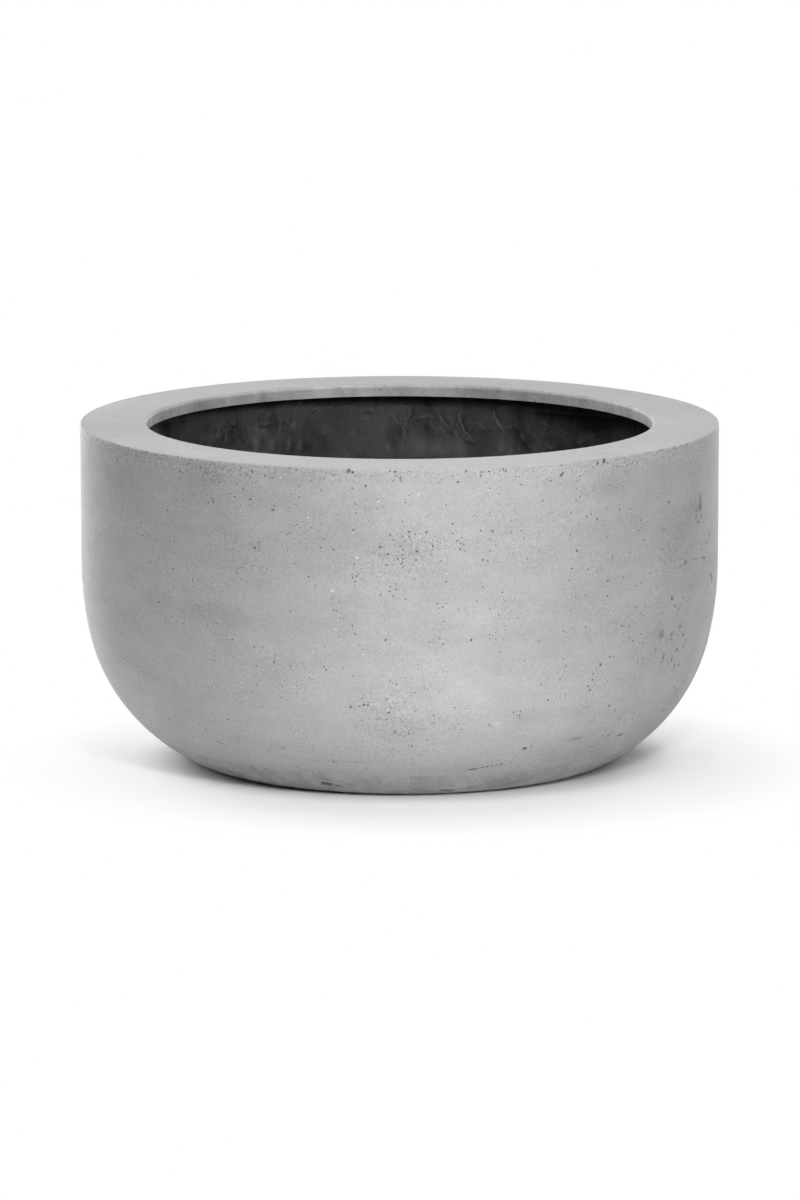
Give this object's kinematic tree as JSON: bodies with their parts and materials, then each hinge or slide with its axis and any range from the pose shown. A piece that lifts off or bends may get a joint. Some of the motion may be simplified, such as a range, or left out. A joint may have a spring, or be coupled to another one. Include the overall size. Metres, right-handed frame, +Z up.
{
  "type": "fibrestone planter",
  "caption": "Low round open planter of cast fibrestone with a wide flat rim, a short inner lip, a stoppered drain hole and thin foot pads.",
  "frame": {"origin": "centre of the planter at floor level, under the foot pads", "axes": "+Z up along the planter's axis; the body is round, so X and Y are chosen to pass between the foot pads"},
  "size_m": [0.54, 0.54, 0.285],
  "materials": {
    "fibrestone": "matt cast fibrestone, pale grey, cloudy, with fine pinholes",
    "laminate": "matt dark glass-fibre laminate, blotchy and slightly wrinkled",
    "stopper_rubber": "matt black moulded rubber",
    "pad_rubber": "matt black sheet rubber"
  },
  "bodies": {
    "planter": {"face_shell": "fibrestone", "inner_laminate": "laminate", "foot_pad_1": "pad_rubber", "foot_pad_2": "pad_rubber", "foot_pad_3": "pad_rubber", "foot_pad_4": "pad_rubber"},
    "stopper": {"drain_plug": "stopper_rubber"}
  },
  "joints": [
    {"name": "stopper_lift", "type": "slide", "parent": "planter", "child": "stopper", "axis": [0, 0, 1], "range_m": [0, 0.06]}
  ]
}
